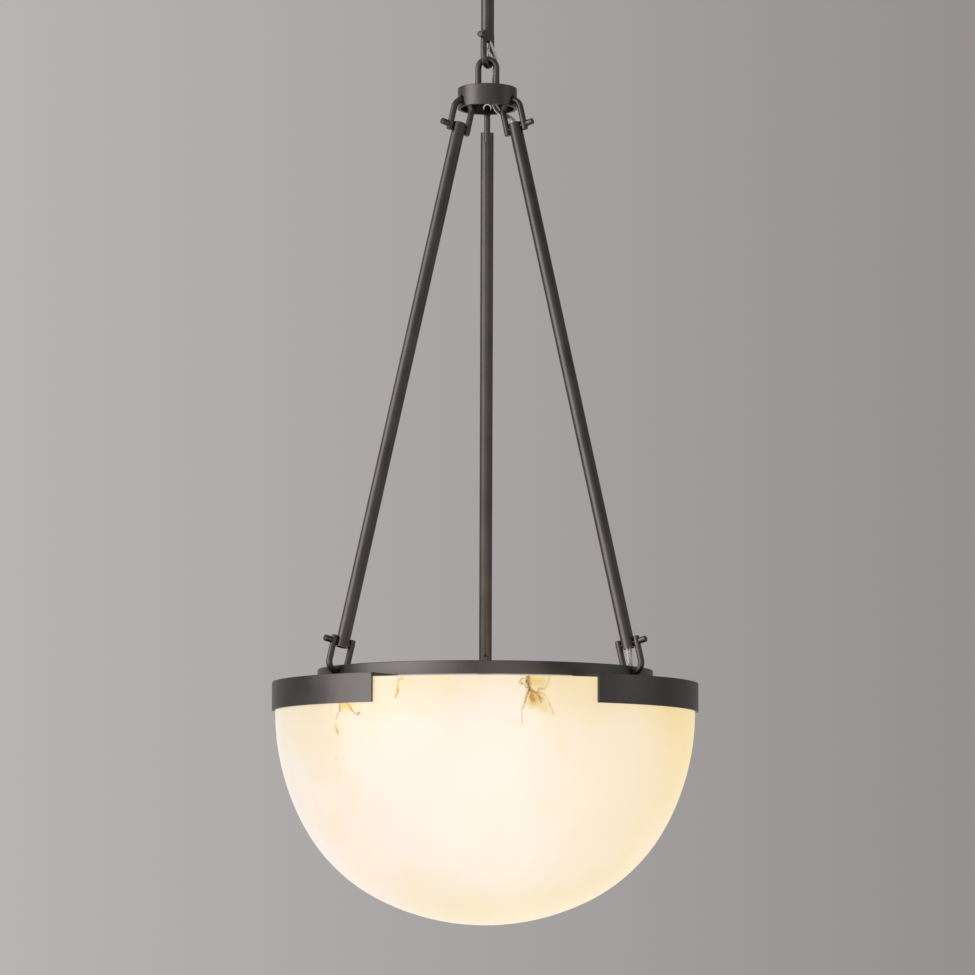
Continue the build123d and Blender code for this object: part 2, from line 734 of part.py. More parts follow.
cap_top_z = cluster_top_z - cluster_height
with BuildPart() as cluster_cap:
    with BuildSketch(Plane.XY.offset(cap_top_z)):
        Circle(cluster_cap_diameter / 2)
    extrude(amount=-cluster_cap_height)
    fillet(cluster_cap.edges().group_by(Axis.Z)[0], cluster_cap_edge_radius)
    with BuildSketch(Plane.XY.offset(cap_top_z)):
        Circle(cluster_screw_diameter / 2)
    extrude(amount=cluster_screw_length)
cluster_cap.part.label = "cluster_cap"
export_step(cluster_cap.part, "parts/cluster_cap.step")



def glass_side(inset, foot):
    """A bulb's half outline from the foot of its neck to its tip, moved in by inset."""
    ball_radius = bulb_diameter / 2
    ball_along = holder_floor + seat_gap + bulb_length - ball_radius
    neck = Line((bulb_neck_diameter / 2 - inset, foot), (bulb_neck_diameter / 2 - inset, foot + bulb_neck_length))
    Spline(neck @ 1, (ball_radius - inset, ball_along), tangents=((0, 1), (0, 1)))
    ball = JernArc((ball_radius - inset, ball_along), (0, 1), ball_radius - inset, 90)
    return neck @ 0, ball @ 1


slope = radians(cluster_slope)
holder_bore = bulb_base_diameter + 2 * bulb_play
for side, azimuth in bulbs.items():
    lamp_out = radial(azimuth, cos(slope), 0, -sin(slope))
    lamp_across = radial(azimuth, 0, 1)
    seat = radial(azimuth, cluster_face_radius, 0, cluster_middle_z)
    lamp = Plane(origin=seat, x_dir=lamp_across, z_dir=lamp_across.cross(lamp_out))
    lamp_axis = Axis(seat, lamp_out)

    with BuildPart() as lampholder:
        with BuildSketch(lamp):
            with BuildLine():
                Polyline(
                    (0, 0),
                    (holder_diameter / 2 - holder_foot_taper[0], 0),
                    (holder_diameter / 2, holder_foot_taper[1]),
                    (holder_diameter / 2, holder_length - holder_lip_taper[1]),
                    (holder_diameter / 2 - holder_lip_taper[0], holder_length),
                    (holder_bore / 2, holder_length),
                    (holder_bore / 2, holder_floor),
                    (0, holder_floor),
                    close=True,
                )
            make_face()
        revolve(axis=lamp_axis)
    lampholder.part.label = f"lampholder_{side}"
    export_step(lampholder.part, f"parts/lampholder_{side}.step")

    contact = holder_floor + seat_gap
    collar = contact + bulb_base_length
    pitch = (bulb_base_length - bulb_tip_length - bulb_collar) / bulb_thread_turns
    crest_radius = bulb_base_diameter / 2
    root_radius = crest_radius - bulb_thread_depth
    with BuildPart() as bulb_base:
        with BuildSketch(lamp):
            with BuildLine():
                previous = (root_radius, contact + bulb_tip_length)
                Polyline((0, collar), (0, contact), (bulb_tip_diameter / 2, contact), previous)
                for turn in range(bulb_thread_turns):
                    crest = (crest_radius, contact + bulb_tip_length + pitch * (turn + 0.5))
                    root = (root_radius, contact + bulb_tip_length + pitch * (turn + 1))
                    Polyline(previous, crest, root)
                    previous = root
                Polyline(previous, (crest_radius, collar - bulb_collar / 2), (crest_radius, collar), (0, collar))
            make_face()
        revolve(axis=lamp_axis)
    bulb_base.part.label = f"bulb_base_{side}"
    export_step(bulb_base.part, f"parts/bulb_base_{side}.step")

    with BuildPart() as bulb_glass:
        with BuildSketch(lamp):
            with BuildLine():
                outer_foot, outer_tip = glass_side(0, collar)
                inner_foot, inner_tip = glass_side(bulb_glass_wall, collar)
                Line(outer_foot, inner_foot)
                Line(outer_tip, inner_tip)
            make_face()
        revolve(axis=lamp_axis)
    bulb_glass.part.label = f"bulb_glass_{side}"
    export_step(bulb_glass.part, f"parts/bulb_glass_{side}.step")

# ---------------------------------------------------------------- lead

half_pitch = conductor_pitch / 2
stem_across = stem_pin_out.cross(down)

# round the stem's shackles: sideways, sideways, distance from the tube's end
near_bends = [(7.0, 1.4, 9.8), (9.2, 7.0, 19.0), (8.0, 8.4, 33.0)]
far_bends = [(2.0, 2.6, 10.3), (7.3, 4.8, 18.4), (5.3, 7.6, 33.0)]


def past_stem_shackle(end_z, way, plate_z, inner_z):
    """The lead from inside one end of the stem, past its shackle and loop, into the plate beyond."""
    routes = []
    for sign, bends, exit_reach in ((1, near_bends, 2.3), (-1, far_bends, 2.8)):
        x = lead_x + sign * half_pitch
        beside = stem_across * (sign * conductor_offset)
        route = [beside + Vector(0, 0, end_z - way * lead_inset), beside + Vector(0, 0, end_z + way * exit_reach)]
        route += [Vector(bx, by, end_z + way * reach) for bx, by, reach in bends]
        route += [Vector(x, lead_y, plate_z - way * plate_approach), Vector(x, lead_y, inner_z)]
        routes.append(route)
    return routes


canopy_lead_z = spreader_top_z + plate_exit
hub_lead_z = hub_ceiling_z - plate_exit
lead("lead_over_top_shackle", *past_stem_shackle(stem_top_z, 1, canopy_floor_z, canopy_lead_z))
lead("lead_over_bottom_shackle", *past_stem_shackle(stem_foot_z, -1, hub_top_z, hub_lead_z))

lead(
    "lead_in_stem",
    *[
        [
            stem_across * (sign * conductor_offset) + Vector(0, 0, stem_top_z - lead_inset),
            stem_across * (sign * conductor_offset) + Vector(0, 0, stem_foot_z + lead_inset),
        ]
        for sign in (1, -1)
    ],
)

# in the canopy, over to the wire connectors
canopy_routes = []
for sign, connector_x in ((1, connector_spacing), (-1, 0.0)):
    x = lead_x + sign * half_pitch
    canopy_routes.append(
        [
            Vector(x, lead_y, canopy_lead_z),
            Vector(x, lead_y, canopy_lead_z + canopy_bends[0]),
            Vector((x + connector_x) / 2, lead_y + canopy_bends[1], canopy_lead_z + canopy_bends[2]),
            Vector(connector_x, connector_mouth_y - connector_run, connector_z),
            Vector(connector_x, connector_mouth_y + lead_inset, connector_z),
        ]
    )
lead("lead_in_canopy", *canopy_routes)

# from the hub to the right rod, and from its foot to the lamps
lead_azimuth = rods["right"]
lead_down = rod_down(lead_azimuth)
lead_across = radial(lead_azimuth, 0, 1)
upper_bow = radial(lead_azimuth, upper_bow_radius, 0, upper_bow_z)
lower_bow = radial(lead_azimuth, lower_bow_radius, 0, lower_bow_z)
tube_reach = shackle_throat - tube_end_to_pin

hub_bends = {
    1: [(-20.2, 11.7, 3.9), (-10.5, 9.4, -2.6), (-2.2, 6.6, -7.0)],
    -1: [(-23.3, 10.0, 1.9), (-14.0, 7.6, -3.4), (-7.0, 5.2, -5.6), (-1.3, 1.2, -8.2)],
}
hub_routes = []
for sign, bends in hub_bends.items():
    x = lead_x + sign * half_pitch
    beside = lead_across * (sign * conductor_offset)
    route = [Vector(x, lead_y, hub_lead_z), Vector(x, lead_y, hub_lead_z - plate_run)]
    route += [radial(lead_azimuth, upper_bow_radius + r, t, upper_bow_z + z) for r, t, z in bends]
    route += [upper_bow + lead_down * (tube_reach - rod_mouth_run[0]) + beside]
    route += [upper_bow + lead_down * (tube_reach + lead_inset) + beside]
    hub_routes.append(route)
lead("lead_in_hub", *hub_routes)

lead(
    "lead_in_rod",
    *[
        [
            upper_bow + lead_down * (tube_reach + lead_inset) + lead_across * (sign * conductor_offset),
            lower_bow - lead_down * (tube_reach + lead_inset) + lead_across * (sign * conductor_offset),
        ]
        for sign in (1, -1)
    ],
)

foot_bends = {
    1: [(-3.0, 3.6, 2.45), (-4.0, 7.4, -4.55), (-10.0, 10.3, -8.05)],
    -1: [(-4.0, 1.0, 0.0), (-5.0, 4.6, -5.05), (-11.0, 7.5, -8.55)],
}
bowl_run = [(130.0, 10.4, 5.0), (92.0, 4.6, 0.0), (52.0, 1.8, -1.0), (24.0, 0.2, 1.0)]
foot_routes = []
for sign, bends in foot_bends.items():
    beside = lead_across * (sign * conductor_offset)
    route = [lower_bow - lead_down * (tube_reach + lead_inset) + beside]
    route += [lower_bow - lead_down * (tube_reach - rod_mouth_run[1]) + beside]
    route += [radial(lead_azimuth, lower_bow_radius + r, t, lower_bow_z + z) for r, t, z in bends]
    route += [radial(lead_azimuth, r, t + sign * half_pitch, rim_z + z) for r, t, z in bowl_run]
    route += [radial(lead_azimuth, lead_entry_radius, sign * half_pitch, cluster_top_z + entry_run)]
    route += [radial(lead_azimuth, lead_entry_radius, sign * half_pitch, cluster_top_z - lead_entry_depth + seat_gap)]
    foot_routes.append(route)
lead("lead_to_cluster", *foot_routes)
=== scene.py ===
# %% [markdown]
# # Alabaster bowl pendant
# A lit bowl of alabaster hangs from three bronze rods, which meet in a small hub under a short stem and a
# canopy. The solids of all this come in as the frame: every node at its place, in metres, with the ceiling
# plane at z = 0. They could be modelled again here, but they are exact already, so they stay as they are.
# This lesson adds what solids can't give: materials, the strands of the lead, the light and the camera.

import json
import math

import bpy
from mathutils import Matrix, Vector


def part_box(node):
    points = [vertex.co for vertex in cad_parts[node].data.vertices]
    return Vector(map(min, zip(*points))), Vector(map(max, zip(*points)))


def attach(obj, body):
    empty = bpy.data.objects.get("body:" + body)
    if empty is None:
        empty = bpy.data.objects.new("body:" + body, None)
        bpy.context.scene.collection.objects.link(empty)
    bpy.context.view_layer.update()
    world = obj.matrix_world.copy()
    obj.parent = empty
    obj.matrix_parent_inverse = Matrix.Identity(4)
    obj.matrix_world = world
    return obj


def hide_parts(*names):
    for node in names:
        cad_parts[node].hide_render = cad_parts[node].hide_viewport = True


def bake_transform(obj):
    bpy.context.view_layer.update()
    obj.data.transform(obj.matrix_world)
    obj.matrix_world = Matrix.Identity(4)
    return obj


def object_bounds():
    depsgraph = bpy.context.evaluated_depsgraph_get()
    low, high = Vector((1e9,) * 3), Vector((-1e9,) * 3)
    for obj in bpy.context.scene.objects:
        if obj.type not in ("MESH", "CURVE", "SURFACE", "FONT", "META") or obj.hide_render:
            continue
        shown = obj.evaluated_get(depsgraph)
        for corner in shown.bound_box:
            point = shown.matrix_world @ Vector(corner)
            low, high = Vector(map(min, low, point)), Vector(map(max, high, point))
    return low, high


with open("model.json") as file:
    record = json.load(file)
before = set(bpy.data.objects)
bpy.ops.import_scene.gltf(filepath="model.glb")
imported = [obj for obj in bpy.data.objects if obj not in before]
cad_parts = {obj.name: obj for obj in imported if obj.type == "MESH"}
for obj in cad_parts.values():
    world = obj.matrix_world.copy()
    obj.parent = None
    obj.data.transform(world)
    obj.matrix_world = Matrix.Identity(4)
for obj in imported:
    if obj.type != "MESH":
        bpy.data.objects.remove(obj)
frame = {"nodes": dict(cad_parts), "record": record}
cad_low, cad_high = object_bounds()
nodes = frame["nodes"]
print(len(nodes), "nodes, box", [round(v, 3) for v in cad_high - cad_low])

# %% [markdown]
# ## Places that the looks need
# The stone glows from the bulbs inside it, and its veins are placed from its rim. Those places could be typed
# in as numbers. They are read from the nodes instead, so a changed size in the model moves the looks with it.

# %% Rim and lamps
bowl_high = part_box("alabaster_bowl")[1]
rim_z = bowl_high.z
bowl_radius = bowl_high.x
lamps = []
for side in ("front", "right", "left"):
    glass_low, glass_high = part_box(f"bulb_glass_{side}")
    lamps.append((glass_low + glass_high) / 2)
print("rim", round(rim_z, 4), "radius", round(bowl_radius, 4))
print("lamps", [tuple(round(c, 3) for c in lamp) for lamp in lamps])

# %% [markdown]
# ## Helpers for node materials
# Every surface here is a small graph of nodes. Such a graph could be drawn by hand in the Shader Editor, but a
# script that writes it can be read, repeated and changed. `graph` makes a material and hands out its Principled
# shader. `put` adds one node, sets its plain values and links its inputs in a single line.

# %% Start a material, add a node


def graph(name):
    """A new material: the material, its node tree, its Principled shader and its object coordinates."""
    material = bpy.data.materials.new(name)
    material.use_nodes = True
    tree = material.node_tree
    shader = tree.nodes["Principled BSDF"]
    place = tree.nodes.new("ShaderNodeTexCoord").outputs["Object"]
    return material, tree, shader, place


def put(tree, kind, inputs=None, **settings):
    """Adds a node. Inputs are values or the sockets to link; settings are the node's own properties."""
    node = tree.nodes.new(kind)
    for key, value in settings.items():
        setattr(node, key, value)
    for key, value in (inputs or {}).items():
        if isinstance(value, bpy.types.NodeSocket):
            tree.links.new(value, node.inputs[key])
        else:
            node.inputs[key].default_value = value
    return node


print("graph and put are ready")

# %% [markdown]
# Most of a graph is plain sums: add, multiply, move a value from one range to another. One short function for
# each keeps the graphs below as readable as a formula.

# %% Sums in a graph


def maths(tree, kind, a, b=0.0):
    """One Math node on two values or sockets."""
    return put(tree, "ShaderNodeMath", {0: a, 1: b}, operation=kind).outputs[0]


def vector_maths(tree, kind, a, b, output="Vector"):
    """One Vector Math node on two values or sockets."""
    return put(tree, "ShaderNodeVectorMath", {0: a, 1: b}, operation=kind).outputs[output]


def between(tree, value, low, high, low_out, high_out, curve="LINEAR"):
    """A value moved from one range to another, and held at its ends."""
    inputs = {"Value": value, "From Min": low, "From Max": high, "To Min": low_out, "To Max": high_out}
    return put(tree, "ShaderNodeMapRange", inputs, interpolation_type=curve).outputs["Result"]


def mixed(tree, share, a, b, blend="MIX"):
    """One colour mixed with another, or multiplied by it."""
    inputs = {"Factor": share, "A": a, "B": b}
    return put(tree, "ShaderNodeMix", inputs, data_type="RGBA", blend_type=blend).outputs["Result"]


print("sums are ready")

# %% [markdown]
# Real surfaces vary, and here the variation comes from noise in object space. A photograph could be wrapped
# round the pieces, but noise has no seams and no size limit, and it looks right from every side. A ramp turns
# the noise into colour, and a bump turns it into small height.

# %% Noise, ramps and bumps


def noise(tree, place, scale, detail=2.0, rough=0.5):
    """Noise at a place, scale in cycles per metre."""
    inputs = {"Vector": place, "Scale": scale, "Detail": detail, "Roughness": rough}
    return put(tree, "ShaderNodeTexNoise", inputs).outputs["Fac"]


def ramp(tree, value, stops):
    """A colour ramp from (position, colour) stops."""
    node = put(tree, "ShaderNodeValToRGB", {"Fac": value})
    while len(node.color_ramp.elements) < len(stops):
        node.color_ramp.elements.new(0.5)
    for element, (position, colour) in zip(node.color_ramp.elements, stops):
        element.position = position
        element.color = (*colour, 1)
    return node.outputs["Color"]


def drift(tree, value, dark, light):
    """A colour that drifts from dark to light with a noise."""
    return ramp(tree, value, [(0.3, dark), (0.7, light)])


def bumped(tree, shader, height, distance, strength=1.0):
    """Bump from a height field, distance in metres."""
    bump = put(tree, "ShaderNodeBump", {"Height": height, "Distance": distance, "Strength": strength})
    tree.links.new(bump.outputs["Normal"], shader.inputs["Normal"])


print("noise, ramps and bumps are ready")

# %% [markdown]
# What several materials share could be copied into each of them. A shader group is better: it is built once,
# and each material that uses it gives it its own values through named sockets.

# %% Start a shader group


def new_group(name, inputs, outputs):
    """An empty shader group with named sockets: (name, kind) pairs."""
    group = bpy.data.node_groups.new(name, "ShaderNodeTree")
    for label, kind in inputs:
        group.interface.new_socket(label, in_out="INPUT", socket_type=kind)
    for label, kind in outputs:
        group.interface.new_socket(label, in_out="OUTPUT", socket_type=kind)
    return group, group.nodes.new("NodeGroupInput").outputs, group.nodes.new("NodeGroupOutput").inputs


def put_group(tree, group, values):
    """Places a group in a tree, with its own values and links."""
    return put(tree, "ShaderNodeGroup", values, node_tree=group).outputs


print("groups can be built")

# %% [markdown]
# ## Blackened bronze and the other metals
# All the metal that shows is one dark bronze: satin, with a slow drift of tone from the patina and a fine grain
# in its surface. The patina could be painted on, or drawn with a texture for each piece. Noise does it for all
# pieces at once: large patches change the tone and the roughness together, and small grain lifts the surface.
# The two noises are a group, because steel, brass and aluminium use them too.

# %% Metal surface group
metal_surface, surface_in, surface_out = new_group(
    "Metal surface",
    [("Place", "NodeSocketVector"), ("Patch scale", "NodeSocketFloat"), ("Grain scale", "NodeSocketFloat")],
    [("Patches", "NodeSocketFloat"), ("Grain", "NodeSocketFloat")],
)
patches = noise(metal_surface, surface_in["Place"], surface_in["Patch scale"], 4.0)
grain = noise(metal_surface, surface_in["Place"], surface_in["Grain scale"], 3.0)
metal_surface.links.new(patches, surface_out["Patches"])
metal_surface.links.new(grain, surface_out["Grain"])
print("group", metal_surface.name, [socket.name for socket in metal_surface.interface.items_tree])

# %% [markdown]
# The bronze is so dark that most of what one sees on it is mirrored light. It could be a plain dark paint, but
# then the pale streaks on the rods would be lost. So it is a metal, and its roughness, which decides how soft a
# streak is, was matched to the photograph together with its colour. The strap, the studs and the hidden nuts
# are plated steel, the ground screw is brass, and the bulbs' bases are aluminium.

# %% Metals
grain_scale = 900.0
grain_depth = 0.00004


def metal(name, dark, light, rough, patch_scale=28.0):
    """A metal whose tone drifts from dark to light and whose roughness follows it."""
    material, tree, shader, place = graph(name)
    values = {"Place": place, "Patch scale": patch_scale, "Grain scale": grain_scale}
    surface = put_group(tree, metal_surface, values)
    tree.links.new(drift(tree, surface["Patches"], dark, light), shader.inputs["Base Color"])
    shader.inputs["Metallic"].default_value = 1.0
    roughness = between(tree, surface["Patches"], 0.25, 0.75, rough - 0.05, rough + 0.06)
    tree.links.new(roughness, shader.inputs["Roughness"])
    bumped(tree, shader, surface["Grain"], grain_depth)
    return material


bronze = metal("blackened bronze", (0.105, 0.096, 0.095), (0.135, 0.125, 0.123), 0.37)
steel = metal("zinc plated steel", (0.42, 0.42, 0.40), (0.56, 0.56, 0.55), 0.34, patch_scale=60.0)
brass = metal("brass", (0.60, 0.43, 0.18), (0.75, 0.58, 0.28), 0.32)
aluminium = metal("rolled aluminium", (0.62, 0.62, 0.61), (0.76, 0.76, 0.75), 0.28)
print("metals", [material.name for material in (bronze, steel, brass, aluminium)])

# %% [markdown]
# ## Plastics, rubber and porcelain
# Pads and washers of rubber, nylon bushings, wire connectors and porcelain lampholders hardly show. One colour
# each would do from far away. Some are seen from above, though, so each has a slow drift of tone, a roughness
# that varies and the fine texture of its mould, all from one function.

# %% Plain materials


def moulded(name, dark, light, rough, texture_scale=700.0, texture_depth=0.00005):
    """A plastic, rubber or glazed surface with a slow drift of tone."""
    material, tree, shader, place = graph(name)
    tree.links.new(drift(tree, noise(tree, place, 35.0, 3.0), dark, light), shader.inputs["Base Color"])
    roughness = between(tree, noise(tree, place, 90.0), 0.3, 0.7, rough - 0.04, rough + 0.05)
    tree.links.new(roughness, shader.inputs["Roughness"])
    bumped(tree, shader, noise(tree, place, texture_scale, 3.0), texture_depth)
    return material


rubber = moulded("rubber", (0.018, 0.018, 0.018), (0.03, 0.03, 0.029), 0.75)
nylon = moulded("nylon", (0.03, 0.03, 0.03), (0.045, 0.045, 0.044), 0.5)
connector = moulded("connector", (0.62, 0.16, 0.03), (0.74, 0.22, 0.05), 0.45)
porcelain = moulded("porcelain", (0.78, 0.76, 0.70), (0.86, 0.84, 0.79), 0.18, 120.0, 0.00003)
print("plain", [material.name for material in (rubber, nylon, connector, porcelain)])

# %% [markdown]
# ## Clear lead
# The lead's insulation is clear, and tinned wires shine through it. It could be made as glassy plastic round
# real wires, which takes much light tracing for a line less than three millimetres thick. A surface that is
# part metal and part milky plastic gives the same silvery look.

# %% Clear lead
clear_lead, tree, shader, place = graph("clear lead")
wires = noise(tree, place, 700.0)
tree.links.new(drift(tree, wires, (0.80, 0.79, 0.73), (0.95, 0.94, 0.88)), shader.inputs["Base Color"])
shader.inputs["Metallic"].default_value = 0.4
tree.links.new(between(tree, wires, 0.3, 0.7, 0.3, 0.4), shader.inputs["Roughness"])
print(clear_lead.name, len(tree.nodes), "nodes")

# %% [markdown]
# ## Alabaster
# The bowl is turned from one block of pale stone, lit from inside, so its colour is mostly light that comes
# through it. Subsurface scattering could compute that, but with three bulbs behind a thick wall it is slow and
# noisy. The glow is written instead as emission that follows the lamps: `Lamp light` gives the light of one
# lamp at a point, by the square of the distance, and adds it to the one before.

# %% Lamp light group
lamp_light, light_in, light_out = new_group(
    "Lamp light",
    [("Place", "NodeSocketVector"), ("Lamp", "NodeSocketVector"), ("Before", "NodeSocketFloat")],
    [("Light", "NodeSocketFloat")],
)
reach = vector_maths(lamp_light, "DISTANCE", light_in["Place"], light_in["Lamp"], "Value")
received = maths(lamp_light, "POWER", reach, -2.0)
lamp_light.links.new(maths(lamp_light, "ADD", received, light_in["Before"]), light_out["Light"])
print("group", lamp_light.name, [socket.name for socket in lamp_light.interface.items_tree])

# %% [markdown]
# ### Veins
# Brown cracks and amber stains run down from the rim. A noise could make veins anywhere, but these are in
# particular places, and they are what one recognises this bowl by. So each is drawn as short strokes on the
# unrolled wall: u runs round the rim to the right of the front, v runs up. One group draws one stroke: it
# finds the nearest point of the stroke, fades with the distance from it, and keeps the mask before it where
# that is stronger.

# %% Vein stroke group
vein_stroke, stroke_in, stroke_out = new_group(
    "Vein stroke",
    [
        ("Place", "NodeSocketVector"),
        ("Start", "NodeSocketVector"),
        ("End", "NodeSocketVector"),
        ("Width", "NodeSocketFloat"),
        ("Strength", "NodeSocketFloat"),
        ("Before", "NodeSocketFloat"),
    ],
    [("Mask", "NodeSocketFloat")],
)
from_start = vector_maths(vein_stroke, "SUBTRACT", stroke_in["Place"], stroke_in["Start"])
whole = vector_maths(vein_stroke, "SUBTRACT", stroke_in["End"], stroke_in["Start"])
done = vector_maths(vein_stroke, "DOT_PRODUCT", from_start, whole, "Value")
length = vector_maths(vein_stroke, "DOT_PRODUCT", whole, whole, "Value")
passed = maths(vein_stroke, "DIVIDE", done, length)
along = put(vein_stroke, "ShaderNodeClamp", {"Value": passed}).outputs["Result"]
nearest = put(
    vein_stroke, "ShaderNodeVectorMath", {0: whole, "Scale": along}, operation="SCALE"
).outputs["Vector"]
aside = vector_maths(vein_stroke, "DISTANCE", from_start, nearest, "Value")
widths_away = maths(vein_stroke, "DIVIDE", aside, stroke_in["Width"])
inside = between(vein_stroke, widths_away, 1.0, 0.0, 0.0, 1.0, "SMOOTHSTEP")
strong = maths(vein_stroke, "MULTIPLY", inside, stroke_in["Strength"])
vein_stroke.links.new(maths(vein_stroke, "MAXIMUM", strong, stroke_in["Before"]), stroke_out["Mask"])
print("group", vein_stroke.name, len(vein_stroke.nodes), "nodes")

# %% [markdown]
# The strokes, in millimetres: a line is (points, width, strength). The dark ones are the brown cracks. They
# could be generated, but a short given list follows the real stone better.

# %% Cracks
dark_lines = [
    # the large crack, right of the middle
    ([(39.7, -1), (38.5, -8), (40, -12), (38.9, -16)], 3.4, 1.0),
    ([(38.9, -16), (38, -20), (35.7, -25)], 2.2, 0.8),
    ([(35.7, -25), (34, -31)], 1.8, 0.6),
    ([(34, -31), (33.4, -36.5), (34.5, -42)], 1.8, 0.5),
    ([(37.5, -2), (34.8, -3), (32, -6), (37.6, -10)], 1.7, 0.8),
    ([(40.1, -14), (47.8, -16)], 3.0, 0.95),
    ([(43, -17), (47, -18)], 6.0, 0.5),
    ([(44, -17), (44.5, -24)], 6.0, 0.5),
    ([(40, -2), (40.5, -7)], 5.0, 0.6),
    ([(48.7, -12), (49.9, -19), (49.3, -23), (51.6, -25)], 2.0, 0.75),
    ([(50, -13), (54.4, -14.5)], 1.8, 0.7),
    ([(50.4, -16), (55.4, -20)], 1.8, 0.5),
    ([(55.4, -20), (58.9, -25)], 1.6, 0.35),
    ([(58.9, -25), (61.4, -29), (63.3, -34.5)], 1.8, 0.45),
    ([(59.5, -1), (57.7, -7), (54, -14)], 2.0, 0.5),
    # under the left bracket
    ([(-145.9, -22), (-145.5, -30.5)], 2.0, 0.9),
    ([(-145.5, -30.5), (-149.1, -33), (-151.6, -38.5)], 1.8, 0.65),
    ([(-152.4, -43), (-151, -46), (-149.6, -51)], 2.0, 0.6),
    ([(-149.9, -49), (-149.6, -51)], 3.0, 0.8),
    ([(-158.0, -26), (-157.5, -36)], 2.2, 0.3),
    ([(-136.4, -25), (-129.5, -30.7), (-124.8, -34.5), (-122.5, -32.6)], 2.0, 0.8),
    ([(-155.8, -74), (-155.8, -76)], 2.4, 0.3),
    ([(-155.8, -82), (-155.8, -85)], 2.4, 0.2),
    # beside the left bracket
    ([(-76.7, -2), (-81.1, -4), (-82, -10)], 2.0, 0.5),
    ([(-82, -10), (-82.3, -14), (-83.5, -19)], 2.6, 0.75),
]
print(len(dark_lines), "cracks")

# %% [markdown]
# The stone is stained amber round the cracks. The stains could be painted on an image, but as wide strokes of
# the same kind they are easily kept where the cracks are.

# %% Stains
amber_patches = [
    # round the large crack
    ([(43.5, -15), (44.8, -22)], 9.5, 1.0),
    ([(45, -15.5), (50, -18)], 8.0, 0.95),
    ([(38.5, -2), (39.5, -9)], 6.0, 1.0),
    ([(42, -4), (54, -5)], 14.0, 0.82),
    ([(52, -8), (50, -14)], 7.0, 0.6),
    ([(42, -24), (50, -23)], 10.0, 0.75),
    ([(49, -20), (56, -28)], 12.0, 0.65),
    ([(56, -22), (62, -34)], 8.0, 0.4),
    # under and beside the left bracket
    ([(-143, -25), (-134, -26)], 8.0, 0.8),
    ([(-126, -26), (-124, -30)], 6.0, 0.4),
    ([(-151, -44), (-151, -50)], 6.0, 0.3),
    ([(-82.3, -8), (-82.3, -15)], 6.0, 0.5),
    ([(-76.7, -2), (-74, -6)], 9.0, 0.35),
    # faint clouds of yellow
    ([(20, -40), (25, -41)], 5.0, 0.2),
    ([(29, -42), (35, -44)], 5.0, 0.3),
    ([(67, -40), (71, -52), (72, -66)], 13.0, 0.16),
    ([(70, -12), (105, -16)], 50.0, 0.36),
    ([(56, -16), (66, -30)], 34.0, 0.2),
    ([(62, -118), (70, -122)], 14.0, 0.08),
    ([(-160, -27), (-161, -35)], 4.0, 0.25),
    ([(-161.4, -69), (-158, -90)], 9.0, 0.1),
]
print(len(amber_patches), "stains")

# %% [markdown]
# Straight strokes would look like pen lines. They could be given many more points, but it is simpler to bend
# the paper: the place is moved by noise before the strokes are drawn on it, so every stroke wanders.

# %% Draw strokes, bend places


def draw_strokes(tree, place, lines):
    """A chain of stroke groups: the mask of all these lines."""
    mask = 0.0
    for points, width, strength in lines:
        for start, end in zip(points, points[1:]):
            values = {
                "Place": place,
                "Start": (start[0] / 1000, start[1] / 1000, 0),
                "End": (end[0] / 1000, end[1] / 1000, 0),
                "Width": width / 1000,
                "Strength": strength,
                "Before": mask,
            }
            mask = put_group(tree, vein_stroke, values)["Mask"]
    return mask


def wander(tree, place, scale, amount):
    """Moves a place by noise, up to about half the amount, in metres."""
    inputs = {"Vector": place, "Scale": scale, "Detail": 2.0}
    field = put(tree, "ShaderNodeTexNoise", inputs).outputs["Color"]
    shift = vector_maths(tree, "SUBTRACT", field, (0.5, 0.5, 0.5))
    shift = vector_maths(tree, "MULTIPLY", shift, (amount, amount, 0))
    return vector_maths(tree, "ADD", place, shift)


print("strokes can be drawn")

# %% [markdown]
# ### The stone's material, step by step
# The unrolled wall comes first. A UV map could unroll the bowl, but the arc tangent of x and y does it without
# one: the angle from the front, times the radius, is the way round the rim.

# %% Unrolled wall
alabaster, stone, stone_shader, stone_place = graph("alabaster")
split = put(stone, "ShaderNodeSeparateXYZ", {"Vector": stone_place}).outputs
from_front = maths(stone, "ARCTAN2", split["X"], maths(stone, "MULTIPLY", split["Y"], -1.0))
around = maths(stone, "MULTIPLY", from_front, bowl_radius)
upward = maths(stone, "SUBTRACT", split["Z"], rim_z)
wall = put(stone, "ShaderNodeCombineXYZ", {"X": around, "Y": upward}).outputs["Vector"]
print("unrolled wall", round(2 * math.pi * bowl_radius, 3), "m round")

# %% [markdown]
# The strokes turn into two masks. The cracks are broken up by blotches, because a real crack holds more dirt
# in one place than in the next. The stains wander further than the cracks, as water does.

# %% Masks of the veins
crack_place = wander(stone, wander(stone, wall, 90.0, 0.006), 420.0, 0.003)
blotches = between(stone, noise(stone, stone_place, 300.0, 3.0), 0.36, 0.58, 0.6, 1.0)
dark_mask = maths(stone, "MULTIPLY", draw_strokes(stone, crack_place, dark_lines), blotches)
stain_place = wander(stone, wander(stone, wall, 60.0, 0.014), 260.0, 0.008)
amber_mask = draw_strokes(stone, stain_place, amber_patches)
print("masks", len(stone.nodes), "nodes")

# %% [markdown]
# The light of the three lamps is added up, and clouds a hand's breadth wide are added to it, because the stone
# isn't equally clear everywhere. One even colour would look like a painted shade, so a ramp turns the sum into
# colour: stone far from the lamps is a deeper yellow, and stone near one is nearly white.

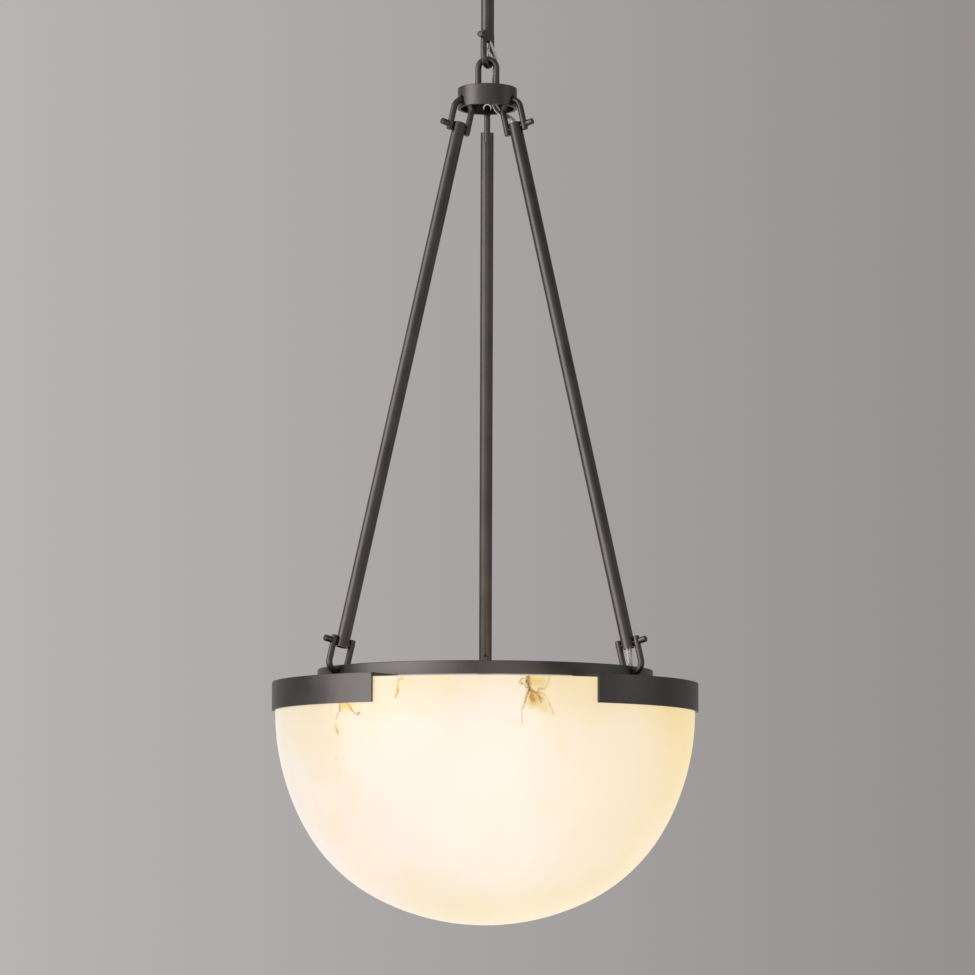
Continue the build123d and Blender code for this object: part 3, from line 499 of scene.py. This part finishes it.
# %% Light through the stone
lamps_light = 0.0
for lamp in lamps:
    values = {"Place": stone_place, "Lamp": lamp, "Before": lamps_light}
    lamps_light = put_group(stone, lamp_light, values)["Light"]
clouds = noise(stone, stone_place, 9.0, 4.0, 0.55)
clouded = maths(stone, "ADD", lamps_light, between(stone, clouds, 0.3, 0.7, -7.0, 7.0))
lit = ramp(
    stone,
    between(stone, clouded, 78.0, 125.0, 0.0, 1.0),
    [
        (0.0, (0.94, 0.80, 0.56)),
        (0.25, (0.95, 0.84, 0.71)),
        (0.6, (0.96, 0.855, 0.735)),
        (1.0, (0.99, 0.885, 0.765)),
    ],
)
print("light of", len(lamps), "lamps")

# %% [markdown]
# The glow is yellower on its right and under its bottom, and duller on its left and at the rim. The duller parts
# are painted shade: at the rim, which lies far from the bulbs, and on the left, where the lights in front add
# their own light. Another noise would put such changes at random places. Here each is a tone that the glow is
# multiplied by, growing from one place to another along an axis.

# %% Painted shade and yellower tones on the glow
glow_shade_and_tints = [
    # axis, where it starts, where it is full, tone
    ("X", 0.03, 0.17, (0.955, 0.90, 0.72)),
    ("X", 0.02, -0.15, (0.89, 0.875, 0.935)),
    ("X", -0.13, -0.20, (0.88, 0.95, 0.94)),
    ("Z", rim_z - 0.16, rim_z - 0.22, (0.95, 0.96, 0.88)),
    ("Z", rim_z - 0.045, rim_z, (0.94, 0.91, 0.87)),
]
# painted shade: the glow is dimmed at the rim and on the left, and made yellower on the right and at the bottom
shaded_tinted_glow = lit
for axis, near, far, tone in glow_shade_and_tints:
    shaded_tinted_glow = mixed(stone, between(stone, split[axis], near, far, 0.0, 1.0), shaded_tinted_glow, (*tone, 1), "MULTIPLY")
print(len(glow_shade_and_tints), "tones")

# %% [markdown]
# Away from the front, where nothing is known of the stone, a few faint threads wander through it. They could
# be strokes too, but here any place will do, so they are the thin line where a noise crosses its middle value.

# %% Threads on the far side
far_side = between(stone, split["Y"], -0.02, 0.06, 0.0, 1.0)
from_middle = maths(stone, "ABSOLUTE", maths(stone, "SUBTRACT", noise(stone, stone_place, 14.0, 5.0), 0.5))
thin_lines = between(stone, from_middle, 0.012, 0.0, 0.0, 1.0, "SMOOTHSTEP")
some_places = between(stone, noise(stone, stone_place, 6.0), 0.52, 0.66, 0.0, 0.4)
threads = maths(stone, "MULTIPLY", maths(stone, "MULTIPLY", thin_lines, some_places), far_side)
print("threads ready")

# %% [markdown]
# The masks now colour the glow. One flat colour for each would do for thin lines, but a stain is ochre where it
# is weak and rust where it is strong, and a crack goes from olive to dark brown. So each tone is a ramp over
# its own mask.

# %% Stains and cracks
stain_stops = [(0.3, (0.86, 0.68, 0.29)), (0.82, (0.79, 0.54, 0.14)), (1.0, (0.60, 0.25, 0.045))]
stained = mixed(stone, amber_mask, shaded_tinted_glow, ramp(stone, amber_mask, stain_stops))
crack_mask = maths(stone, "MAXIMUM", dark_mask, threads)
crack_stops = [(0.2, (0.54, 0.42, 0.19)), (0.55, (0.39, 0.22, 0.06)), (1.0, (0.22, 0.085, 0.014))]
glow = mixed(stone, crack_mask, stained, ramp(stone, crack_mask, crack_stops))
print("veins coloured")

# %% [markdown]
# Last comes the stone's own surface: polished, with a soft sheen and a very slight waviness. The glow is its
# emission. It could have a plain white base under the glow, but then the lights in front would wash it out. So
# the base colour is the glow itself, times a grey.

# %% Surface of the stone
stone.links.new(glow, stone_shader.inputs["Emission Color"])
stone_shader.inputs["Emission Strength"].default_value = 0.895
grey = drift(stone, clouds, (0.36, 0.345, 0.34), (0.42, 0.405, 0.40))
stone.links.new(mixed(stone, 1.0, glow, grey, "MULTIPLY"), stone_shader.inputs["Base Color"])
stone.links.new(between(stone, clouds, 0.3, 0.7, 0.26, 0.36), stone_shader.inputs["Roughness"])
bumped(stone, stone_shader, noise(stone, stone_place, 40.0, 3.0), 0.0004, 0.35)
print("alabaster", len(stone.nodes), "nodes")

# %% [markdown]
# ## Bulbs
# Three frosted bulbs light the bowl, and they are seen from above. A point light in clear glass could do it.
# Glass that glows by itself is calmer, and it keeps its place at every pose. The glow is whiter in the middle
# of the bulb and warmer toward its edge, which Layer Weight gives.

# %% Bulb glass
frosted, tree, shader, place = graph("frosted glass")
toward_edge = put(tree, "ShaderNodeLayerWeight", {"Blend": 0.35}).outputs["Facing"]
warm = ramp(tree, toward_edge, [(0.0, (1.0, 0.86, 0.66)), (1.0, (1.0, 0.72, 0.42))])
tree.links.new(warm, shader.inputs["Emission Color"])
shader.inputs["Emission Strength"].default_value = 2.4
frost = drift(tree, noise(tree, place, 60.0), (0.85, 0.83, 0.8), (0.92, 0.9, 0.88))
tree.links.new(frost, shader.inputs["Base Color"])
tree.links.new(between(tree, noise(tree, place, 300.0), 0.3, 0.7, 0.3, 0.42), shader.inputs["Roughness"])
print(frosted.name, len(tree.nodes), "nodes")

# %% [markdown]
# ## Materials onto the nodes
# Each part of the pendant is of one stuff, and the record says which. The materials could be given node by
# node. A table from the record's slots to the materials is shorter, and it can't leave a node out.

# %% Dress the nodes
by_slot = {
    "bronze": bronze,
    "steel": steel,
    "brass": brass,
    "alabaster": alabaster,
    "rubber": rubber,
    "nylon": nylon,
    "connector": connector,
    "lead": clear_lead,
    "porcelain": porcelain,
    "bulb_glass": frosted,
    "bulb_base": aluminium,
}
slots = {row["node"]: row["material_slot"] for row in frame["record"]["subparts"]}
for name, node in nodes.items():
    node.data.materials.clear()
    node.data.materials.append(by_slot[slots[name]])
print("dressed", len(slots), "nodes in", sorted(set(slots.values())))

# %% [markdown]
# ## The lead
# Two conductors feed the lamps. They pass the stem's shackles in the open, cross from the hub into the right
# rod, and leave its foot for the lamp cluster. Smooth tubes could stand for them, with stripes painted on, but
# each is a rope of three silvery strands, and only real strands catch the light in their grooves. The routes
# are those of the model, a few points each, so that the strands stay in the space that the model gives them.

# %% Routes over the stem's shackles
over_top = [
    [
        (0.0032, -0.0013, -0.0785), (0.0032, -0.0013, -0.0702), (0.0070, 0.0014, -0.0627),
        (0.0092, 0.0070, -0.0535), (0.0080, 0.0084, -0.0395), (0.0069, 0.0090, -0.0280),
        (0.0069, 0.0090, -0.0190),
    ],
    [
        (-0.0032, 0.0013, -0.0785), (-0.0032, 0.0013, -0.0697), (0.0020, 0.0026, -0.0622),
        (0.0073, 0.0048, -0.0541), (0.0053, 0.0076, -0.0395), (0.0041, 0.0090, -0.0280),
        (0.0041, 0.0090, -0.0190),
    ],
]
over_bottom = [
    [
        (0.0032, -0.0013, -0.2189), (0.0032, -0.0013, -0.2272), (0.0070, 0.0014, -0.2347),
        (0.0092, 0.0070, -0.2439), (0.0080, 0.0084, -0.2579), (0.0069, 0.0090, -0.2694),
        (0.0069, 0.0090, -0.2764),
    ],
    [
        (-0.0032, 0.0013, -0.2189), (-0.0032, 0.0013, -0.2277), (0.0020, 0.0026, -0.2352),
        (0.0073, 0.0048, -0.2433), (0.0053, 0.0076, -0.2579), (0.0041, 0.0090, -0.2694),
        (0.0041, 0.0090, -0.2764),
    ],
]
print("over the shackles:", [len(route) for route in over_top + over_bottom], "points")

# %% [markdown]
# The other two open stretches run across the hub into the head of the right rod, and from the rod's foot to the
# middle of the bowl, where the lampholders are. They could be drawn by eye, but the model's own points keep
# them clear of the other pieces.

# %% Routes in the hub and in the bowl
in_hub = [
    [
        (0.0069, 0.0090, -0.2764), (0.0069, 0.0090, -0.2814), (0.0120, 0.0066, -0.2909),
        (0.0192, -0.0002, -0.2974), (0.0250, -0.0068, -0.3018), (0.0279, -0.0122, -0.3073),
        (0.0294, -0.0131, -0.3143),
    ],
    [
        (0.0041, 0.0090, -0.2764), (0.0041, 0.0090, -0.2814), (0.0084, 0.0067, -0.2929),
        (0.0153, 0.0000, -0.2982), (0.0201, -0.0056, -0.3004), (0.0231, -0.0119, -0.3030),
        (0.0245, -0.0181, -0.3073), (0.0260, -0.0190, -0.3143),
    ],
]
to_cluster = [
    [
        (0.1348, -0.0739, -0.8134), (0.1363, -0.0748, -0.8204), (0.1365, -0.0746, -0.8305),
        (0.1375, -0.0708, -0.8375), (0.1338, -0.0653, -0.8410), (0.1185, -0.0548, -0.8469),
        (0.0827, -0.0408, -0.8519), (0.0466, -0.0232, -0.8529), (0.0216, -0.0106, -0.8509),
        (0.0154, -0.0073, -0.8559), (0.0154, -0.0073, -0.8636),
    ],
    [
        (0.1314, -0.0798, -0.8134), (0.1329, -0.0807, -0.8204), (0.1343, -0.0764, -0.8329),
        (0.1352, -0.0728, -0.8380), (0.1315, -0.0673, -0.8415), (0.1171, -0.0572, -0.8469),
        (0.0813, -0.0432, -0.8519), (0.0452, -0.0257, -0.8529), (0.0202, -0.0130, -0.8509),
        (0.0140, -0.0097, -0.8559), (0.0140, -0.0097, -0.8636),
    ],
]
print("in the hub and in the bowl:", [len(route) for route in in_hub + to_cluster], "points")

# %% [markdown]
# A lead bends smoothly, never in corners. The arcs could be worked out one by one, but Blender's own spline
# does it: a NURBS curve with no thickness turns into a mesh of points along the smooth line. The order is set
# after the points, because it can't be higher than their number.

# %% Smooth line along a route


def smooth_line(points):
    """Points along the NURBS spline that has these control points."""
    curve = bpy.data.curves.new("route", "CURVE")
    curve.dimensions = "3D"
    spline = curve.splines.new("NURBS")
    spline.points.add(len(points) - 1)
    for point, place in zip(spline.points, points):
        point.co = (*place, 1)
    spline.order_u = 3
    spline.use_endpoint_u = True
    spline.resolution_u = 16
    holder = bpy.data.objects.new("route", curve)
    line = bpy.data.meshes.new_from_object(holder)
    found = [vertex.co.copy() for vertex in line.vertices]
    bpy.data.objects.remove(holder)
    bpy.data.curves.remove(curve)
    bpy.data.meshes.remove(line)
    return found


print("first line", len(smooth_line(over_top[0])), "points")

# %% [markdown]
# The spline's points lie close where the route's own points do, and wide apart on long runs. The strands could
# be wound on them as they are, but they would look angular on the long runs. So the points are spread evenly.

# %% Even steps along the line
strand_step = 0.0006


def spread_evenly(points):
    """The same line with its points one step apart."""
    spread = [points[0]]
    left = strand_step
    for start, end in zip(points, points[1:]):
        run = (end - start).length
        done = 0.0
        while run - done >= left:
            done += left
            spread.append(start.lerp(end, done / run))
            left = strand_step
        left -= run - done
    spread.append(points[-1])
    if (spread[-1] - spread[-2]).length < strand_step / 3:
        spread.pop(-2)
    return spread


print("first line", len(spread_evenly(smooth_line(over_top[0]))), "even points")

# %% [markdown]
# A strand goes round the line like the stripe round a barber's pole. For that, each point of the line needs two
# directions across it. They could be taken from the curve's own tilt, which may flip over at a bend, so they
# are carried along the line without turning.

# %% Directions across the line


def carried_frames(line):
    """For each point of the line: the point, two directions across it, and the length up to it."""
    ahead = [(b - a).normalized() for a, b in zip(line, line[1:])]
    ahead.append(ahead[-1])
    aside = ahead[0].orthogonal().normalized()
    frames, length = [], 0.0
    for i, place in enumerate(line):
        aside = (aside - ahead[i] * aside.dot(ahead[i])).normalized()
        frames.append((place, aside.copy(), ahead[i].cross(aside), length))
        if i + 1 < len(line):
            length += (line[i + 1] - place).length
    return frames


print("first line", round(1000 * carried_frames(spread_evenly(smooth_line(over_top[0])))[-1][3], 1), "mm long")

# %% [markdown]
# Each strand is a thin tube whose middle turns about the line once in a lay length. It is built ring by ring
# in mesh code, and its ends are closed, so that every stretch is a clean mesh of its own.

# %% One strand
conductor_radius = 0.0013
strand_radius = 0.00062
lay_length = 0.0085
strand_sides = 7
strands_in_conductor = 3


def wind_strand(frames, turned, corners, faces):
    """Adds one strand to the corners and faces, turned by a share of the lay."""
    first = len(corners)
    for place, x, y, run in frames:
        a = 2 * math.pi * (run / lay_length + turned)
        middle = place + (x * math.cos(a) + y * math.sin(a)) * (conductor_radius - strand_radius)
        for side in range(strand_sides):
            b = 2 * math.pi * side / strand_sides
            corners.append(middle + (x * math.cos(b) + y * math.sin(b)) * strand_radius)
    for ring in range(len(frames) - 1):
        here = first + ring * strand_sides
        there = here + strand_sides
        for side in range(strand_sides):
            following = (side + 1) % strand_sides
            faces.append((here + side, here + following, there + following, there + side))
    last = first + (len(frames) - 1) * strand_sides
    faces.append(tuple(first + side for side in reversed(range(strand_sides))))
    faces.append(tuple(last + side for side in range(strand_sides)))


print("strand", 2000 * strand_radius, "mm, conductor", 2000 * conductor_radius, "mm thick")

# %% [markdown]
# Three strands make a conductor, and two conductors make a stretch of the lead. The frames are cut between two
# heights only after they have been carried along the whole line, so both halves of a cut stretch fit together.

# %% A stretch of the lead


def lead_stretch(name, routes, top=math.inf, bottom=-math.inf):
    """The conductors along these routes, three strands each, between two heights, as one mesh."""
    corners, faces = [], []
    for route in routes:
        carried = carried_frames(spread_evenly(smooth_line(route)))
        frames = [row for row in carried if bottom <= row[0].z <= top]
        for strand in range(strands_in_conductor):
            wind_strand(frames, strand / strands_in_conductor, corners, faces)
    mesh = bpy.data.meshes.new(name)
    mesh.from_pydata(corners, [], faces)
    mesh.polygons.foreach_set("use_smooth", [len(face) == 4 for face in faces])
    mesh.materials.append(clear_lead)
    piece = bpy.data.objects.new(name, mesh)
    bpy.context.scene.collection.objects.link(piece)
    print(name, len(faces), "faces")
    return piece


print("stretches can be made")

# %% [markdown]
# ### Lead over the stem's upper shackle
# Here the lead comes out of the canopy, passes the shackle and goes into the stem. It crosses two joints, so
# the stretch is made in two halves. They meet beside the shackle and overlap by about one ring of the strands so
# that no gap can open.

# %% Lead over the top shackle
lap = 0.0007
top_cut = -0.0645
lead_top_high = lead_stretch("lead_top_high", over_top, bottom=top_cut - lap)
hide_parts("lead_over_top_shackle")
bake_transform(lead_top_high)
lead_top_low = lead_stretch("lead_top_low", over_top, top=top_cut)
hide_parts("lead_over_top_shackle")
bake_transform(lead_top_low)
print("cut at", top_cut)

# %% [markdown]
# ### Lead over the stem's lower shackle
# The same again where the stem ends: out of the stem, past the shackle and down into the hub. One stretch that
# bends over both joints could not be made with a blend, so here too it is cut in two.

# %% Lead over the bottom shackle
foot_cut = -0.2334
lead_foot_high = lead_stretch("lead_foot_high", over_bottom, bottom=foot_cut - lap)
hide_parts("lead_over_bottom_shackle")
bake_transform(lead_foot_high)
lead_foot_low = lead_stretch("lead_foot_low", over_bottom, top=foot_cut)
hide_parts("lead_over_bottom_shackle")
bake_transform(lead_foot_low)
print("cut at", foot_cut)

# %% [markdown]
# ### Lead in the hub and in the bowl
# In the hub the lead crosses one joint, the lean of the right rod, and is made as one stretch. From the rod's
# foot to the lamps it could be blended, but the rod leans so little that it simply rides with the bowl's frame.

# %% Lead in the hub, lead in the bowl
lead_hub = lead_stretch("lead_hub", in_hub)
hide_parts("lead_in_hub")
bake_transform(lead_hub)
lead_bowl = lead_stretch("lead_bowl", to_cluster)
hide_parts("lead_to_cluster")
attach(lead_bowl, "bowl_frame")
print("the lead is whole")

# %% [markdown]
# ## Camera
# The photograph was taken from nearly four metres in front, at about the height of the bowl's bottom, looking up
# by six degrees. Such a camera could be moved by hand until the picture looks right. Here its place, its angles
# and its focal length in pixels were fitted to the photograph, so that edges can be compared by number.

# %% Camera
image_width = 975
focal_pixels = 4041.4
camera_place = Vector((0.00152, -3.8542, rim_z - 0.223))
pitch = 0.1072
roll = -0.0035
camera_data = bpy.data.cameras.new("camera")
camera_data.sensor_width = 36.0
camera_data.lens = camera_data.sensor_width * focal_pixels / image_width
camera_data.clip_end = 60.0
level_right = Vector((1, 0, 0))
ahead = Vector((0, math.cos(pitch), math.sin(pitch)))
level_up = level_right.cross(ahead)
rolled_right = level_right * math.cos(roll) - level_up * math.sin(roll)
rolled_up = level_right * math.sin(roll) + level_up * math.cos(roll)
turn = Matrix((rolled_right, rolled_up, -ahead)).transposed().to_4x4()
camera = bpy.data.objects.new("camera", camera_data)
bpy.context.scene.collection.objects.link(camera)
camera.matrix_world = Matrix.Translation(camera_place) @ turn
bpy.context.scene.camera = camera
print("camera", [round(v, 3) for v in camera_place], "lens", round(camera_data.lens, 1))

# %% [markdown]
# ## Floor
# The pendant hangs free, and only the views from above show a floor. It is one large pale face below the bowl.
# A light bright enough to make it pale would wash out the stone, so the floor glows a little, but only for the
# rays that look at it: from the camera, or mirrored by metal and glass. Seen from below it is transparent, so
# that a camera under it still sees the pendant.

# %% Floor


def looking_rays(tree):
    """1 for the rays that look at a surface: from the camera, mirrored or through glass."""
    rays = tree.nodes.new("ShaderNodeLightPath").outputs
    mirrored = maths(tree, "MAXIMUM", rays["Is Glossy Ray"], rays["Is Transmission Ray"])
    return maths(tree, "MAXIMUM", rays["Is Camera Ray"], mirrored)


floor_reach = 14.0
floor_drop = 0.55
floor_z = cad_low.z - floor_drop
floor_corners = [(x * floor_reach, y * floor_reach, floor_z) for x, y in ((-1, -1), (1, -1), (1, 1), (-1, 1))]
floor_mesh = bpy.data.meshes.new("floor")
floor_mesh.from_pydata(floor_corners, [], [(0, 1, 2, 3)])
floor_material, tree, shader, place = graph("floor")
pale = drift(tree, noise(tree, place, 1.2, 4.0), (0.60, 0.585, 0.57), (0.66, 0.645, 0.63))
tree.links.new(pale, shader.inputs["Base Color"])
shader.inputs["Roughness"].default_value = 0.8
shader.inputs["Emission Color"].default_value = (0.22, 0.212, 0.21, 1)
tree.links.new(looking_rays(tree), shader.inputs["Emission Strength"])
underside = tree.nodes.new("ShaderNodeNewGeometry").outputs["Backfacing"]
tree.links.new(maths(tree, "SUBTRACT", 1.0, underside), shader.inputs["Alpha"])
floor_mesh.materials.append(floor_material)
floor = bpy.data.objects.new("floor", floor_mesh)
bpy.context.scene.collection.objects.link(floor)
print("floor at", round(floor_z, 3))

# %% [markdown]
# ## Lights
# On dark metal the lights themselves are what one sees, as pale streaks. One broad light could do for the whole,
# but then every piece would have its streak on the same side. So there are five soft area lights, placed and
# dimmed until the streaks came near those in the photograph: a large key at the left, two low ones in front, a
# weak fill at the right and a weaker one behind. A light is given by how bright its face looks, not in watts.

# %% Lights
light_target = Vector((0, 0, -0.7))
soft_lights = [
    # name, azimuth, distance, height, width, height of its face, brightness of its face, colour
    ("key", 201, 3.4, 0.3, 2.8, 3.2, 2.25, (1.0, 0.985, 0.975)),
    ("low_left", 231, 4.0, -0.9, 2.4, 1.4, 1.9, (1.0, 0.99, 0.98)),
    ("low_right", 285, 4.2, -0.9, 2.8, 1.4, 0.85, (1.0, 0.99, 0.98)),
    ("fill", 352, 4.0, 0.0, 2.4, 2.0, 0.36, (0.97, 0.98, 1.0)),
    ("back", 110, 3.6, 0.5, 2.0, 2.0, 0.25, (1.0, 1.0, 1.0)),
]
for name, azimuth, distance, height, width, tall, brightness, colour in soft_lights:
    data = bpy.data.lights.new(name, "AREA")
    data.shape = "RECTANGLE"
    data.size = width
    data.size_y = tall
    data.energy = brightness * math.pi * width * tall
    data.color = colour
    light = bpy.data.objects.new(name, data)
    a = math.radians(azimuth)
    light.location = (distance * math.cos(a), distance * math.sin(a), height)
    light.rotation_mode = "QUATERNION"
    light.rotation_quaternion = (light_target - light.location).to_track_quat("-Z", "Y")
    light.visible_camera = False
    bpy.context.scene.collection.objects.link(light)
    print("light", name, round(data.energy, 1), "W")

# %% [markdown]
# ## World
# Behind the pendant lies a plain tone, paler at the left. It could be a plane, but then each view would need its
# own. The world's colour does it for all of them, by the direction that is looked in. Only rays that look see
# this tone. The world's light on the object is an even grey, so the tone doesn't tint it.

# %% World
world = bpy.data.worlds.new("world")
bpy.context.scene.world = world
world.use_nodes = True
sky = world.node_tree
direction = put(sky, "ShaderNodeTexCoord").outputs["Generated"]
across = put(sky, "ShaderNodeSeparateXYZ", {"Vector": direction}).outputs["X"]
backdrop_tone = ramp(
    sky,
    between(sky, across, -1.0, 1.0, 0.0, 1.0),
    [
        (0.0, (0.25, 0.243, 0.243)),
        (0.44, (0.48, 0.455, 0.455)),
        (0.56, (0.30, 0.28, 0.278)),
        (1.0, (0.22, 0.21, 0.21)),
    ],
)
even_grey = (0.20, 0.197, 0.195, 1)
sky.links.new(mixed(sky, looking_rays(sky), even_grey, backdrop_tone), sky.nodes["Background"].inputs["Color"])
bpy.context.scene.view_settings.view_transform = "Standard"
print("world", len(sky.nodes), "nodes, view", bpy.context.scene.view_settings.view_transform)
